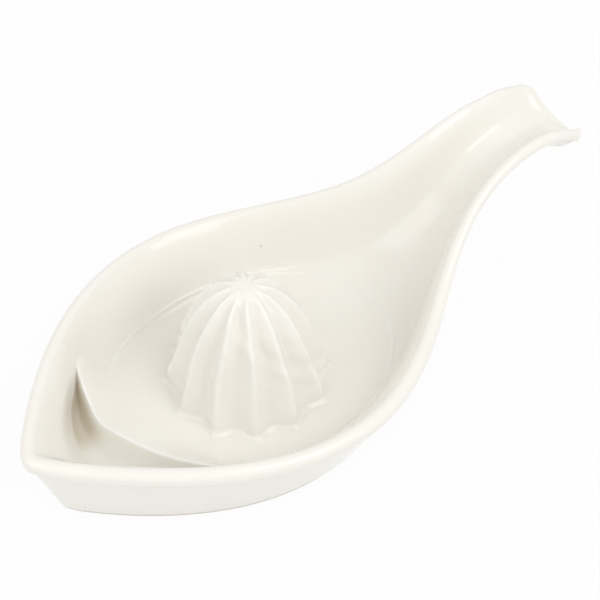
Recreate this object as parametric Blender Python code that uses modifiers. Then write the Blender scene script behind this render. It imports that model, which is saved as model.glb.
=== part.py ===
"""Lemon squeezer of glazed ceramic: a boat-shaped dish with a pouring lip and a gutter handle,
a raised floor with a weir, a hollow fluted reamer, and an unglazed foot.

Stations are measured in millimetres from the reamer's axis, with +X towards the handle and the
table at height 0. The scene's origin is below the middle of the whole length.
"""

import math

import bmesh
import bpy
import numpy as np

MM = 0.001

# Lengths, from the reamer's axis to the middle of the rim's round edge
LIP_REACH = 81.8
HANDLE_REACH = 140.6

# Rim: half widths of its middle line, and heights of its top
RIM_RADIUS = 2.5
HANDLE_RIM_RADIUS = 1.9
BOWL_HALF_WIDTH = 52.7
LIP_ROUNDING = 0.06
SHOULDER_X, SHOULDER_HALF_WIDTH = 28.0, 47.2
FLARE_X, FLARE_HALF_WIDTH = 47.0, 37.4
WAIST_X, WAIST_HALF_WIDTH = 66.0, 25.3
GRIP_X, GRIP_HALF_WIDTH = 84.0, 17.3
HANDLE_X, HANDLE_HALF_WIDTH = 104.0, 14.2
HANDLE_END_HALF_WIDTH = 13.1
HANDLE_CORNER = 6.0
LIP_HEIGHT = 34.6
SPOUT_X, SPOUT_HEIGHT = -60.0, 35.5
BOWL_X, BOWL_HEIGHT = 14.0, 31.6
WAIST_HEIGHT = 40.4
GRIP_HEIGHT = 50.6
CREST_X, HANDLE_HEIGHT = 114.0, 59.0
HANDLE_END_HEIGHT = 52.7
HANDLE_END_DIP = 7.0

# Lip under the rim, where the bead steps in to the wall, in radii of the rim
BEAD_DROP = 1.2
BEAD_STEP = 0.68

# Raised floor and the wall's outline at its height
DECK_HEIGHT = 10.0
DECK_HALF_WIDTH = 39.4
DECK_LIP_REACH = 62.5
DECK_HANDLE_REACH = 55.0

# How far the inner wall bows out on its way down
WALL_BOW = 0.35

# Sunken floor of the pocket in the spout, which runs on under the raised floor
POCKET_HEIGHT = 4.6
POCKET_INSET = 3.0

# Gutter of the handle: heights of its bottom, and half width of its flat
GUTTER_STATIONS = ((55.0, 10.0), (65.0, 14.0), (75.0, 21.0), (85.0, 29.0), (95.0, 36.6),
                   (105.0, 43.0), (115.0, 46.8), (125.0, 47.2), (133.0, 44.7), (HANDLE_REACH, 40.6))
GUTTER_HALF_WIDTH = 5.0
GUTTER_EDGE_RISE = 1.2
GUTTER_END_INSET = 1.0
HANDLE_THICKNESS = 5.0
UNDERSIDE_BLEND = 14.0

# Underside and foot
FOOT_HEIGHT = 2.0
FOOT_HALF_WIDTH = 43.6
FOOT_LIP_REACH = 73.6
FOOT_HANDLE_REACH = 62.0
FOOT_WIDTH = 6.0
FOOT_INSET = 0.8

# Weir: the raised floor's edge above the pocket, as y, x and rise above the floor. It is bowed
# towards the lip and turned a little to one side, and climbs the walls at both ends.
WEIR_STATIONS = ((-38.0, -35.5, 17.0), (-28.0, -38.5, 11.0), (-17.0, -41.5, 5.2), (-4.0, -45.4, 2.0),
                 (12.0, -50.2, 1.8), (21.0, -50.2, 5.2), (27.0, -48.5, 10.5), (34.0, -45.0, 16.5))
WEIR_WIDTH = 7.0

# Reamer
REAMER_RADIUS = 28.0
REAMER_HEIGHT = 47.9
REAMER_FLUTES = 12
REAMER_TURN = math.radians(147.9)
FLUTE_DEPTH = 3.4
FLUTE_ROUNDING = 0.8
TIP_RADIUS = 5.0
REAMER_TAPER = 1.3
REAMER_SWELL = 1.62
REAMER_WALL = 4.2
WALL_AT_TIP = 6.5

# Space between pieces that meet, and round the raised floor's edge
GAP = 0.3
EDGE_GAP = 0.8

# Fineness of the meshes
RIM_STATIONS = 64
END_CROWDING = 0.5
WALL_RINGS = 6
ROUND_SEGMENTS = 96

REAMER_X = (LIP_REACH - HANDLE_REACH) / 2
GLAZE = (0.86, 0.83, 0.75)
BISQUE = (0.78, 0.72, 0.62)


def spline(stations):
    """Smooth curve through stations of x and value, with straight ends."""
    x, y = np.array(stations, float).T
    step = np.diff(x)
    slope = np.diff(y) / step
    size = len(x)
    matrix = np.eye(size)
    right = np.zeros(size)
    for i in range(1, size - 1):
        matrix[i, i - 1:i + 2] = step[i - 1], 2 * (step[i - 1] + step[i]), step[i]
        right[i] = 6 * (slope[i] - slope[i - 1])
    bend = np.linalg.solve(matrix, right)

    def value(at):
        i = int(np.clip(np.searchsorted(x, at) - 1, 0, size - 2))
        left, far, width = at - x[i], x[i + 1] - at, step[i]
        curve = (bend[i] * far ** 3 + bend[i + 1] * left ** 3) / (6 * width)
        return (curve + (y[i] / width - bend[i] * width / 6) * far
                + (y[i + 1] / width - bend[i + 1] * width / 6) * left)
    return value


rim_height = spline(((-LIP_REACH, LIP_HEIGHT), (SPOUT_X, SPOUT_HEIGHT), (BOWL_X, BOWL_HEIGHT),
                     (WAIST_X, WAIST_HEIGHT), (GRIP_X, GRIP_HEIGHT), (CREST_X, HANDLE_HEIGHT),
                     (HANDLE_REACH, HANDLE_END_HEIGHT)))
handle_half_width = spline(((-SHOULDER_X, SHOULDER_HALF_WIDTH), (0.0, BOWL_HALF_WIDTH),
                            (SHOULDER_X, SHOULDER_HALF_WIDTH), (FLARE_X, FLARE_HALF_WIDTH),
                            (WAIST_X, WAIST_HALF_WIDTH), (GRIP_X, GRIP_HALF_WIDTH),
                            (HANDLE_X, HANDLE_HALF_WIDTH), (HANDLE_REACH, HANDLE_END_HALF_WIDTH)))
gutter_height = spline(GUTTER_STATIONS)


def leaf(share):
    """Half width of a leaf with a blunt tip, as a share, at a share of its reach."""
    left = max(0.0, 1 - share ** 2)
    return math.sqrt(left * (left + 2 * LIP_ROUNDING) / (1 + 2 * LIP_ROUNDING))


def rounded_end(x, end):
    """Share of its width that the handle keeps as it rounds off towards its end."""
    past = max(0.0, (x - end + HANDLE_CORNER) / HANDLE_CORNER)
    return max(0.0, 1 - past ** 3) ** (1 / 3)


def rim_half_width(x):
    if x < 0:
        return BOWL_HALF_WIDTH * leaf(-x / LIP_REACH)
    return handle_half_width(x) * rounded_end(x, HANDLE_REACH)


def rim_stations():
    """Points of the rim's middle line, closer together at its ends, each with its outward direction."""
    share = (1 - np.cos(np.linspace(0, math.pi, 1200))) / 2
    x = -LIP_REACH + (LIP_REACH + HANDLE_REACH) * share
    y = np.array([rim_half_width(value) for value in x])
    run = np.concatenate([[0], np.cumsum(np.hypot(np.diff(x), np.diff(y)))])
    turn = np.linspace(0, 2 * math.pi, RIM_STATIONS + 1)
    even = run[-1] * (turn - END_CROWDING * np.sin(turn)) / (2 * math.pi)
    x_even, y_even = np.interp(even, run, x), np.interp(even, run, y)
    y_even[0] = y_even[-1] = 0
    out_x, out_y = -np.gradient(y_even), np.gradient(x_even)
    out_x[0], out_y[0], out_x[-1], out_y[-1] = -1, 0, 1, 0
    length = np.hypot(out_x, out_y)
    return list(zip(x_even, y_even, out_x / length, out_y / length))


STATIONS = rim_stations()


def end_dip(x, y):
    """How far the rim sinks between the two corners of the handle's end."""
    past = min(1.0, max(0.0, (x - HANDLE_REACH + HANDLE_CORNER) / HANDLE_CORNER))
    return HANDLE_END_DIP * past ** 2 * (1 - (y / HANDLE_END_HALF_WIDTH) ** 2) ** 2


def rim_radius(x):
    share = min(1.0, max(0.0, (x - FLARE_X) / (GRIP_X - FLARE_X)))
    return RIM_RADIUS + (HANDLE_RIM_RADIUS - RIM_RADIUS) * share ** 2 * (3 - 2 * share)


def rim_ring(across, down):
    """Ring on the rim: so many of its radii outwards from its middle line, and so many below its top."""
    ring = []
    for x, y, nx, ny in STATIONS:
        radius = rim_radius(x)
        z = rim_height(x) - end_dip(x, y) - radius * down
        ring.append((x + nx * radius * across, y + ny * radius * across, z))
    return ring


def ellipse_half_width(x, half_width, lip_reach, handle_reach):
    reach = lip_reach if x < 0 else handle_reach
    return half_width * math.sqrt(max(0.0, 1 - (x / reach) ** 2))


def floor_ring(inset, height):
    """Ring round a floor of the bowl that runs on along the gutter of the handle.

    Two of its stations lie on the step at the raised floor's end: at its foot and at its top.
    """
    end = HANDLE_REACH - HANDLE_RIM_RADIUS - GUTTER_END_INSET - inset / 2
    step_top = next(i for i, station in enumerate(STATIONS) if station[0] > DECK_HANDLE_REACH - POCKET_INSET / 2)
    ring = []
    for i, (x_rim, _, _, _) in enumerate(STATIONS):
        if i == step_top - 1:
            x = DECK_HANDLE_REACH - POCKET_INSET
        elif i == step_top:
            x = DECK_HANDLE_REACH
        elif x_rim < 0:
            x = -(DECK_LIP_REACH - inset) * math.sin(math.pi / 2 * -x_rim / LIP_REACH)
        else:
            x = x_rim * end / HANDLE_REACH
        y = ellipse_half_width(x, DECK_HALF_WIDTH - inset, DECK_LIP_REACH - inset, DECK_HANDLE_REACH - inset)
        z = height
        if x > 0:
            gutter = (GUTTER_HALF_WIDTH - inset / 2) * rounded_end(x, end)
            y = (y ** 3 + gutter ** 3) ** (1 / 3)
        if i >= step_top:
            rise = GUTTER_EDGE_RISE * (1 - inset / POCKET_INSET) * rounded_end(x, end) * (i > step_top)
            z = max(DECK_HEIGHT, gutter_height(x) + rise)
        ring.append((x, y * (0 < i < RIM_STATIONS), z))
    return ring


def under_ring():
    """Ring where the outer wall meets the flat underside, and the handle's underside beyond it."""
    end = HANDLE_REACH - HANDLE_THICKNESS
    ring = []
    for x_rim, _, _, _ in STATIONS:
        z = FOOT_HEIGHT
        if x_rim < 0:
            x = x_rim * FOOT_LIP_REACH / LIP_REACH
            y = FOOT_HALF_WIDTH * leaf(-x / FOOT_LIP_REACH)
        else:
            x = x_rim * end / HANDLE_REACH
            bowl = ellipse_half_width(x, FOOT_HALF_WIDTH, FOOT_LIP_REACH, FOOT_HANDLE_REACH)
            y = (bowl ** 3 + (GUTTER_HALF_WIDTH * rounded_end(x, end)) ** 3) ** (1 / 3)
        if x > FOOT_HANDLE_REACH:
            share = min(1.0, (x - FOOT_HANDLE_REACH) / UNDERSIDE_BLEND)
            blend = share ** 2 * (3 - 2 * share)
            z += (gutter_height(x) - HANDLE_THICKNESS - FOOT_HEIGHT) * blend
        ring.append((x, y, z))
    return ring


def between(first, last, plan_share, height_share):
    """Ring between two rings, at one share of the way in plan and another in height."""
    return [(a[0] + (b[0] - a[0]) * plan_share, a[1] + (b[1] - a[1]) * plan_share,
             a[2] + (b[2] - a[2]) * height_share) for a, b in zip(first, last)]


def bowed_rings(first, last, bow, count):
    """Rings from the first to the last along a curve that stays out and then turns in."""
    rings = []
    for i in range(1, count):
        share = i / count
        rings.append(between(first, last, share ** (1 + bow), 1 - (1 - share) ** (1 + bow)))
    return rings


def on_middle(ring):
    return [(x, 0.0, z) for x, _, z in ring]


def mesh_object(name, points, faces, colour, roughness, collection):
    mesh = bpy.data.meshes.new(name)
    mesh.from_pydata([(x * MM, y * MM, z * MM) for x, y, z in points], [], faces)
    body = bmesh.new()
    body.from_mesh(mesh)
    bmesh.ops.remove_doubles(body, verts=body.verts, dist=0.000001)
    bmesh.ops.dissolve_degenerate(body, edges=body.edges, dist=0.000001)
    bmesh.ops.recalc_face_normals(body, faces=body.faces)
    body.to_mesh(mesh)
    body.free()
    mesh.shade_smooth()
    mesh.set_sharp_from_angle(angle=math.radians(35))
    obj = bpy.data.objects.new(name, mesh)
    obj.location.x = REAMER_X * MM
    collection.objects.link(obj)
    if colour:
        obj.data.materials.append(ceramic(name, colour, roughness))
    return obj


def ceramic(name, colour, roughness):
    material = bpy.data.materials.new(name)
    material.use_nodes = True
    shader = material.node_tree.nodes["Principled BSDF"]
    shader.inputs["Base Color"].default_value = (*colour, 1)
    shader.inputs["Roughness"].default_value = roughness
    shader.inputs["Metallic"].default_value = 0.0
    return material


def loft(rings, round_rings, round_stack):
    """Points and faces of a grid of rings; either way round it can close on itself."""
    points = [point for ring in rings for point in ring]
    size = len(rings[0])
    faces = []
    for i in range(len(rings) if round_stack else len(rings) - 1):
        for j in range(size if round_rings else size - 1):
            a, b = i * size, (i + 1) % len(rings) * size
            k = (j + 1) % size
            faces.append((a + j, a + k, b + k, b + j))
    return points, faces


def cut(obj, cutter):
    cutter.hide_render = True
    cutter.display_type = "WIRE"
    change = obj.modifiers.new("Cut", "BOOLEAN")
    change.operation = "DIFFERENCE"
    change.solver = "EXACT"
    change.object = cutter


def turned(name, profile, collection):
    """Solid turned about the reamer's axis from a profile of radius and height, top to bottom."""
    mesh = bpy.data.meshes.new(name)
    edges = [(i, i + 1) for i in range(len(profile) - 1)]
    mesh.from_pydata([(r * MM, 0, z * MM) for r, z in profile], edges, [])
    obj = bpy.data.objects.new(name, mesh)
    obj.location.x = REAMER_X * MM
    collection.objects.link(obj)
    screw = obj.modifiers.new("Turn", "SCREW")
    screw.axis = "Z"
    screw.steps = ROUND_SEGMENTS // 2
    screw.render_steps = ROUND_SEGMENTS // 2
    screw.use_merge_vertices = True
    screw.merge_threshold = 0.00001
    return obj


def dome(share, radius, height):
    """Radius and height of a pointed dome at a share of the way from its foot to its tip."""
    angle = share * math.pi / 2
    return radius * math.cos(angle) ** REAMER_TAPER, height * math.sin(angle) ** REAMER_SWELL


def build_dish(parts, cutters):
    under = under_ring()
    deck = floor_ring(0.0, DECK_HEIGHT)
    pocket = floor_ring(POCKET_INSET, POCKET_HEIGHT)
    bead_foot = rim_ring(1 - BEAD_STEP, 1 + BEAD_DROP)
    outside = rim_ring(1, 1 + BEAD_DROP / 2)
    inside = rim_ring(-1, 1)
    rings = [on_middle(under), between(on_middle(under), under, 0.5, 0.5), under]
    rings += [between(under, bead_foot, share, share) for share in (0.25, 0.5, 0.75)]
    rings += [bead_foot, outside]
    for i in range(6):
        angle = math.pi * i / 6
        rings.append(rim_ring(math.cos(angle), 1 - math.sin(angle)))
    rings += [inside]
    rings += bowed_rings(inside, deck, WALL_BOW, WALL_RINGS)
    rings += [deck, pocket, between(pocket, on_middle(pocket), 0.5, 0.5), on_middle(pocket)]
    points, faces = loft(rings, False, False)
    dish = mesh_object("dish", points, faces, GLAZE, 0.12, parts)
    mirror = dish.modifiers.new("Mirror", "MIRROR")
    mirror.use_axis = (False, True, False)
    mirror.merge_threshold = 0.00001
    mirror.use_clip = True
    hollow = REAMER_RADIUS - REAMER_WALL
    bore = turned("dish_bore", [(0, DECK_HEIGHT), (hollow, DECK_HEIGHT), (hollow, -GAP), (0, -GAP)], cutters)
    cut(dish, bore)


weir_x = spline([(y, x) for y, x, _ in WEIR_STATIONS])
weir_rise = spline([(y, rise) for y, _, rise in WEIR_STATIONS])


def ray_to_ring(angle, ring):
    """How far the ring lies from the reamer's axis in one direction, and its height there."""
    dx, dy = math.cos(angle), abs(math.sin(angle))
    for (ax, ay, az), (bx, by, bz) in zip(ring, ring[1:]):
        across = dx * (by - ay) - dy * (bx - ax)
        if abs(across) < 1e-9:
            continue
        reach = (ax * (by - ay) - ay * (bx - ax)) / across
        share = (dy * ax - dx * ay) / across
        if reach > 0 and -1e-6 <= share <= 1 + 1e-6:
            return reach, az + (bz - az) * share
    return 0.0, 0.0


def at_step(angle, reach, limit):
    """Reach in one direction, kept short of the step at the handle's end of the raised floor."""
    dx, dy = math.cos(angle), math.sin(angle)
    if dx > 0:
        reach = min(reach, 1 / math.sqrt((dx / (limit - EDGE_GAP)) ** 2 + (dy / DECK_HALF_WIDTH) ** 2))
    return reach - EDGE_GAP


def at_weir(angle, reach):
    """Point in one direction at the given reach, or at the weir where that is met first."""
    dx, dy = math.cos(angle), math.sin(angle)
    for r in np.linspace(REAMER_RADIUS, reach, 400):
        if dx < 0 and r * dx < weir_x(r * dy):
            return r * dx, r * dy
    return reach * dx, reach * dy


def deck_top(x, y):
    """Height of the raised floor, which swells up to the weir's crest."""
    past = max(0.0, x - weir_x(y)) / WEIR_WIDTH
    return DECK_HEIGHT + weir_rise(y) * math.exp(-past ** 2)


def top_edge(angle, walls):
    """Point of the raised floor's upper edge in one direction, found against the wall at its height."""
    levels = [ray_to_ring(angle, ring) for ring in walls]
    height = DECK_HEIGHT
    for _ in range(4):
        reach = np.interp(height, [z for _, z in levels], [r for r, _ in levels])
        x, y = at_weir(angle, at_step(angle, reach, DECK_HANDLE_REACH))
        height = deck_top(x, y)
    return x, y, height


def build_deck(parts):
    angles = [2 * math.pi * i / ROUND_SEGMENTS for i in range(ROUND_SEGMENTS)]
    hollow = REAMER_RADIUS - REAMER_WALL
    hole = [(hollow * math.cos(angle), hollow * math.sin(angle)) for angle in angles]
    pocket = floor_ring(POCKET_INSET, POCKET_HEIGHT)
    deck = floor_ring(0.0, DECK_HEIGHT)
    inside = rim_ring(-1, 1)
    walls = [deck] + bowed_rings(inside, deck, WALL_BOW, WALL_RINGS)[::-1]
    bottom = POCKET_HEIGHT + GAP
    low = []
    for angle in angles:
        reach = at_step(angle, ray_to_ring(angle, pocket)[0], DECK_HANDLE_REACH - POCKET_INSET)
        low.append((*at_weir(angle, reach), bottom))
    edge = [top_edge(angle, walls) for angle in angles]
    rings = [[(x, y, bottom) for x, y in hole], low, edge]
    for share in (0.9, 0.78, 0.62, 0.4):
        ring = []
        for (hx, hy), (ex, ey, _) in zip(hole, edge):
            x, y = hx + (ex - hx) * share, hy + (ey - hy) * share
            ring.append((x, y, deck_top(x, y)))
        rings.append(ring)
    rings.append([(x, y, DECK_HEIGHT) for x, y in hole])
    points, faces = loft(rings, True, True)
    mesh_object("reaming_deck", points, faces, GLAZE, 0.12, parts)


def build_reamer(parts, cutters):
    angles = [2 * math.pi * i / ROUND_SEGMENTS for i in range(ROUND_SEGMENTS)]
    levels = 15
    base = DECK_HEIGHT + GAP
    rings = []
    for i in range(levels):
        radius, height = dome(i / levels, REAMER_RADIUS, REAMER_HEIGHT)
        depth = FLUTE_DEPTH * min(1.0, radius / TIP_RADIUS / 2) * min(1.0, radius / REAMER_RADIUS + 0.15)
        ring = []
        for angle in angles:
            groove = abs(math.sin((angle - REAMER_TURN) * REAMER_FLUTES / 2)) ** FLUTE_ROUNDING
            r = radius - depth * groove
            ring.append((r * math.cos(angle), r * math.sin(angle), base + height))
        rings.append(ring)
    points, faces = loft(rings, True, False)
    size = len(angles)
    points.append((0, 0, base + REAMER_HEIGHT))
    tip = len(points) - 1
    last = (levels - 1) * size
    faces += [(last + i, last + (i + 1) % size, tip) for i in range(size)]
    faces.append(tuple(reversed(range(size))))
    reamer = mesh_object("reamer", points, faces, GLAZE, 0.12, parts)
    hollow = REAMER_RADIUS - REAMER_WALL
    inside_height = REAMER_HEIGHT - WALL_AT_TIP
    profile = []
    for i in range(10, -1, -1):
        radius, height = dome(i / 10, hollow, inside_height)
        profile.append((radius, base + height))
    profile[0] = (0.0, base + inside_height)
    below = DECK_HEIGHT / 2
    profile += [(hollow, below), (0.0, below)]
    cut(reamer, turned("reamer_hollow", profile, cutters))


def foot_outline(inset):
    ring = []
    half = RIM_STATIONS // 2
    for i in range(-half, half):
        angle = math.pi * i / half
        x = math.cos(angle)
        if x < 0:
            share = math.sin(math.pi / 2 * -x)
            y = (FOOT_HALF_WIDTH - inset) * leaf(share)
            x = -(FOOT_LIP_REACH - inset * 1.3) * share
        else:
            y = (FOOT_HALF_WIDTH - inset) * math.sqrt(max(0.0, 1 - x ** 2))
            x = (FOOT_HANDLE_REACH - inset) * x
        ring.append((x, y if i > 0 else -y))
    return ring


def build_foot(parts):
    outer, inner = foot_outline(FOOT_INSET), foot_outline(FOOT_INSET + FOOT_WIDTH)
    top = FOOT_HEIGHT - GAP
    rings = [[(x, y, 0.0) for x, y in inner], [(x, y, 0.0) for x, y in outer],
             [(x, y, top) for x, y in outer], [(x, y, top) for x, y in inner]]
    points, faces = loft(rings, True, True)
    mesh_object("foot_ring", points, faces, BISQUE, 0.7, parts)


def main():
    for obj in list(bpy.data.objects):
        bpy.data.objects.remove(obj, do_unlink=True)
    parts = bpy.data.collections.new("lemon_squeezer")
    cutters = bpy.data.collections.new("cutters")
    bpy.context.scene.collection.children.link(parts)
    bpy.context.scene.collection.children.link(cutters)
    build_dish(parts, cutters)
    build_deck(parts)
    build_reamer(parts, cutters)
    build_foot(parts)


main()
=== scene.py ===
"""Looks of the lemon squeezer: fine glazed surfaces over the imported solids, light and camera.

Shapes are worked out in millimetres from the reamer's axis, with +X towards the handle and the
table at height 0, and moved to the frame's own origin when a mesh is made.
"""

import math

import bmesh
import bpy
import numpy as np
from mathutils import Matrix, Vector


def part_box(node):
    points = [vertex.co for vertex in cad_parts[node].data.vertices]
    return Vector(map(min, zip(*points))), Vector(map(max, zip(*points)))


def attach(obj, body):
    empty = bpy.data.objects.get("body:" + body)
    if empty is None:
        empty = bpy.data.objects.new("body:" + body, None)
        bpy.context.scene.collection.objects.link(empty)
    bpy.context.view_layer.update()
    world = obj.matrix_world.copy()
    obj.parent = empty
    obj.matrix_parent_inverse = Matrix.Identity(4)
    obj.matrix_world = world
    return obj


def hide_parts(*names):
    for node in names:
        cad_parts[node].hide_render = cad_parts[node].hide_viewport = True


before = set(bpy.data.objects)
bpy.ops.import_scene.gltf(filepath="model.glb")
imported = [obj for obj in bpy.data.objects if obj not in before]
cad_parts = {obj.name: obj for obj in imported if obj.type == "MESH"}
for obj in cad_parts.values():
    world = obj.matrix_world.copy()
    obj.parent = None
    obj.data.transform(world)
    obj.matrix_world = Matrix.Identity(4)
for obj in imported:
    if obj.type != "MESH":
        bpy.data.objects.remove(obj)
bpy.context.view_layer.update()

MM = 0.001
reamer_low, reamer_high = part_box("reamer")
REAMER_X = (reamer_low.x + reamer_high.x) / 2

# Outline of the rim: half widths of its middle line, and heights of its top
LIP_REACH = 81.8
HANDLE_REACH = 140.2
RIM_RADIUS = 2.5
HANDLE_RIM_RADIUS = 1.9
BOWL_HALF_WIDTH = 52.65
LIP_ROUNDING = 0.06
FLARE_X, GRIP_X = 47.0, 84.0
HANDLE_END_HALF_WIDTH = 13.1
HANDLE_CORNER = 4.8
HANDLE_END_DIP = 7.0
END_DIP_RUN = 1.6 * HANDLE_CORNER
WIDTH_STATIONS = ((-28.0, 47.2), (0.0, BOWL_HALF_WIDTH), (28.0, 47.2), (FLARE_X, 37.4), (66.0, 25.3),
                  (GRIP_X, 17.3), (104.0, 14.2), (HANDLE_REACH, HANDLE_END_HALF_WIDTH))
RIM_HEIGHTS = ((-LIP_REACH, 34.6), (-60.0, 35.5), (14.0, 31.6), (66.0, 40.4), (GRIP_X, 50.6),
               (114.0, 58.95), (HANDLE_REACH, 52.7))

# The handle's end sags towards its front corner: y and shift of its height, fading in along the
# handle, how much further out the front corner lies, and how much the back edge rises
END_SHIFTS = ((-15.5, -2.4), (-13.1, -2.5), (-10.0, -4.3), (-7.0, -3.3), (-5.3, -2.0), (-2.9, -0.2),
              (-0.7, 0.8), (2.9, 1.2), (6.6, 0.8), (10.0, 0.0), (13.1, -0.3), (15.5, -0.3))
END_SHIFT_FROM = 122.0
END_TWIST_REACH = 0.7
FRONT_SHARE_MOST = 1.1
BACK_RISE, BACK_RISE_FROM, BACK_RISE_RUN = 1.3, 115.0, 13.0
BACK_SIDE_FROM, BACK_SIDE_RUN = 4.0, 9.0

# How far round the rim's edge its inner side turns before it runs into the wall, in degrees
RIM_TURN = 44.0
RIM_TURN_AT_END = 16.0
RIM_TURN_RUN = 9.0

# Bead under the rim, in radii of the rim, with shares of its drop and step for its rounded edge, and
# how much taller it grows towards the handle's end
BEAD_DROP = 1.2
BEAD_STEP = 0.68
BEAD_MIDDLE = 0.45
BEAD_EDGE_DROP, BEAD_EDGE_STEP = 0.55, 0.6
END_TALL, END_TALL_RUN = 0.55, 12.0

# Raised floor, pocket, wall and gutter
DECK_HEIGHT = 10.0
DECK_HALF_WIDTH = 39.4
DECK_LIP_REACH = 62.5
ROUND_POWER, SPOUT_POWER = 2.0, 2.6
SPOUT_FROM, SPOUT_RUN = 20.0, 30.0
WALL_FOOT_STATIONS = ((-20.0, 36.7), (0.0, DECK_HALF_WIDTH), (20.0, 36.9), (35.0, 31.2), (47.0, 24.4),
                      (58.0, 17.0), (70.0, 11.2), (GRIP_X, 7.2), (104.0, 5.4), (HANDLE_REACH, 5.0))
WALL_FOOT_INSET = 3.5
WALL_FOOT_SLOPE = 1.3
GUTTER_FOOT_SLOPE = 0.5
WALL_FILLET = 7.0
GUTTER_FILLET = 2.0
FLOOR_FILLET = 2.0
LEAST_FILLET = 0.3
WALL_BOW, WALL_TOP_BOW = 0.3, 1.1
BLEND_FROM, BLEND_TO = 22.0, 62.0
POCKET_HEIGHT = 4.8
GUTTER_FROM = 15.0
GUTTER_STATIONS = ((GUTTER_FROM, 5.0), (35.0, 7.6), (48.0, 9.5), (57.0, 11.4), (66.0, 14.9),
                   (75.0, 21.0), (85.0, 29.0), (95.0, 36.6), (105.0, 43.0), (115.0, 46.8),
                   (125.0, 47.6), (133.0, 46.6), (HANDLE_REACH, 44.8))
GUTTER_EDGE_RISE = 1.4
GUTTER_CROWN = 1.2
GUTTER_END_INSET = 1.0
GUTTER_END = HANDLE_REACH - HANDLE_RIM_RADIUS - GUTTER_END_INSET
HANDLE_THICKNESS = 5.0
END_THICKNESS, END_THICKNESS_FROM, END_THICKNESS_RUN = 3.4, 92.0, 30.0
UNDERSIDE_BLEND = 14.0
UNDERSIDE_POWER = 6.0
UNDERSIDE_BULGE = 0.35
UNDERSIDE_SLANT, SLANT_FROM, SLANT_RUN = 0.5, 90.0, 30.0

# Line round the raised floor, where it meets the wall
RING_REACH_LIP, RING_REACH_HANDLE, RING_HALF_WIDTH = 56.8, 55.0, 39.4
RING_RISE = 0.35
RING_WIDTH = 0.45
RING_FROM, RING_FADE = 4.0, 6.0

# Weir: y, x and rise of its crest above the raised floor, and the run of its steep side
WEIR_STATIONS = ((-38.0, -34.9, 17.0, 3.0), (-28.0, -37.7, 11.0, 4.0), (-17.0, -41.0, 5.2, 5.0),
                 (-4.0, -45.5, 2.0, 6.0), (8.0, -49.3, 1.4, 6.5), (14.0, -50.5, 1.8, 6.5),
                 (20.0, -49.7, 4.0, 6.5), (26.0, -48.4, 8.7, 6.0), (31.0, -46.7, 13.4, 5.0),
                 (37.0, -43.7, 16.5, 4.0))
WEIR_WIDTH = 7.0
WEIR_EDGE = 0.35
WEIR_CURVE = 1.8

# Slot behind the weir's high end, where the wall's fillet is tighter
SLOT_RISE, SLOT_WIDTH, SLOT_TIGHTENING = 8.0, 7.0, 0.75

# Underside and foot
FOOT_HEIGHT = 2.0
FOOT_HALF_WIDTH = 43.6
FOOT_LIP_REACH = 74.8
FOOT_HANDLE_REACH = 62.0
FOOT_WIDTH = 6.0
FOOT_INSET = 0.8
FOOT_LIP_INSET = 1.3
FOOT_EDGE = 0.6
FOOT_BEVEL = 0.3
BORE_RADIUS = 22.4

# Reamer
REAMER_RADIUS = 27.6
REAMER_HEIGHT = 43.4
REAMER_FLUTES = 12
REAMER_TURN = math.radians(147.9)
REAMER_TAPER = 0.78
REAMER_SWELL = 1.95
FLUTE_DEPTH = 3.3
FLUTE_DEPTH_AT_TIP = 2.0
RIDGE_ROUNDING = 0.24
RIDGE_ROUNDING_AT_TIP = 0.9
TIP_RADIUS = 3.0
TIP_RUN = 7.0
BASE_FILLET = 1.6
REAMER_HOLLOW_RADIUS = 21.6
REAMER_HOLLOW_HEIGHT = 37.0
COLLAR_GAP = 0.3
COLLAR_OVERLAP = 0.2
BASE_SINK = 0.4

# Shares of the reamer's height from which its ridges grow blunt and its flutes shallow, and over which
# they leave the base. How unevenly it was made: in radians, as a share, and in millimetres.
ROUNDING_FROM, ROUNDING_RUN = 0.4, 0.6
SHALLOW_FROM, SHALLOW_RUN = 0.55, 0.45
BASE_SHARE = 0.15
FLUTE_WANDER = 0.02
FLUTE_UNEVENNESS = 0.08
WALL_UNEVENNESS, UNEVENNESS_RUN = 0.2, 6.0

# Fineness of the meshes
RIM_STATIONS = 480
END_CROWDING = 0.4
WALL_STEPS = 210
SPREAD_ROWS = 25
RIM_STEPS = 18
OUTER_STEPS = 40
REAMER_SEGMENTS = 576
REAMER_LEVELS = 110
LEVEL_CROWDING = 1.05
HOLLOW_EVERY = 3
NORMAL_STEP = 1e-3
BEAD_STEPS = 7
FOOT_SEGMENTS = 360
OUTLINE_SAMPLES = 6000
LINE_SAMPLES = 400
HEIGHT_WEIGHT = 1.5
WEIR_CROWDING, WEIR_CROWDING_WIDTH = 2.5, 4.0
RING_CROWDING, RING_CROWDING_WIDTH = 3.0, 1.5
RING_CROWDING_TO, RING_CROWDING_RUN = 30.0, 16.0

# Distances in metres within which points and edges of a mesh count as one
MERGE_DISTANCE = 2e-6
LEAST_EDGE = 1e-6


def spline(stations):
    """Smooth curve through stations of x and value, with straight ends."""
    x, y = np.array(stations, float).T
    step = np.diff(x)
    slope = np.diff(y) / step
    size = len(x)
    matrix = np.eye(size)
    right = np.zeros(size)
    for i in range(1, size - 1):
        matrix[i, i - 1:i + 2] = step[i - 1], 2 * (step[i - 1] + step[i]), step[i]
        right[i] = 6 * (slope[i] - slope[i - 1])
    bend = np.linalg.solve(matrix, right)

    def value(at):
        at = np.clip(at, x[0], x[-1])
        i = np.clip(np.searchsorted(x, at) - 1, 0, size - 2)
        left, far, width = at - x[i], x[i + 1] - at, step[i]
        curve = (bend[i] * far ** 3 + bend[i + 1] * left ** 3) / (6 * width)
        return (curve + (y[i] / width - bend[i] * width / 6) * far
                + (y[i + 1] / width - bend[i + 1] * width / 6) * left)
    return value


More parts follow.
